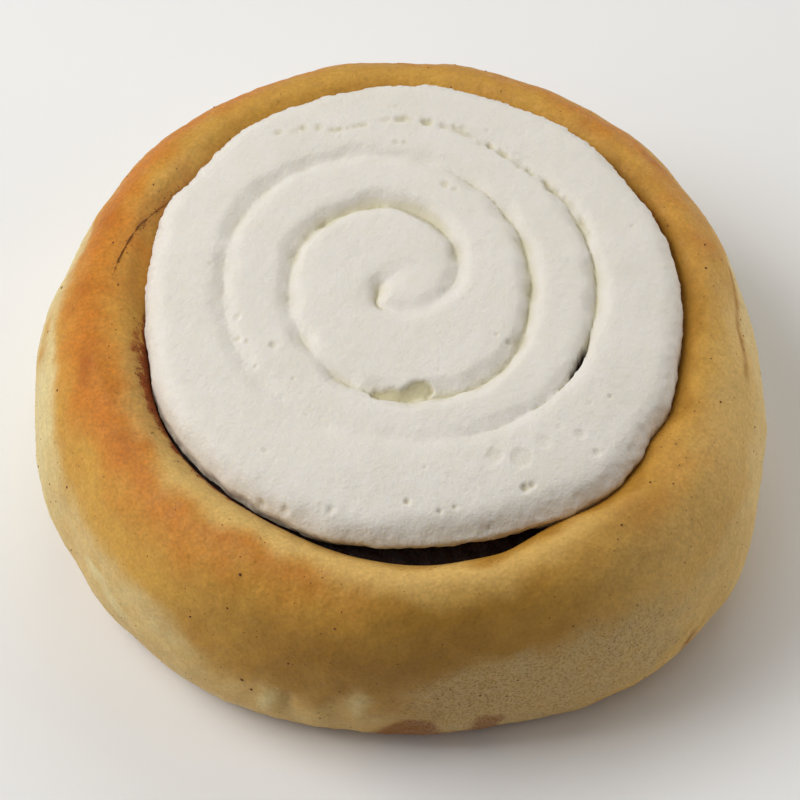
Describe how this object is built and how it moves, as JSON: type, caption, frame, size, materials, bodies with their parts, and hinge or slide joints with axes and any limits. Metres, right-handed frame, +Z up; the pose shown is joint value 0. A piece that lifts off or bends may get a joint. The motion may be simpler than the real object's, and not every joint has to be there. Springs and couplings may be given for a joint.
{
  "type": "frosted sweet bun",
  "caption": "Round coiled yeast bun with cinnamon filling between its turns and a spiral of piped white frosting set in the hollow of its top.",
  "frame": {"origin": "middle of the bounding box in plan, on the plane of the bun's underside", "axes": "+Z up through the bun; -Y is the front, where the filling shows in an open gap; +X to the right seen from the front"},
  "size_m": [0.1034, 0.1046, 0.0376],
  "materials": {
    "baked_dough": "satin baked crust, golden tan with orange-brown and pale patches",
    "cinnamon_filling": "dark, moist, grainy",
    "frosting": "matte warm white, fine bubbles"
  },
  "bodies": {
    "root": {"dough_coil": "baked_dough", "cinnamon_filling": "cinnamon_filling", "frosting": "frosting"}
  },
  "joints": []
}
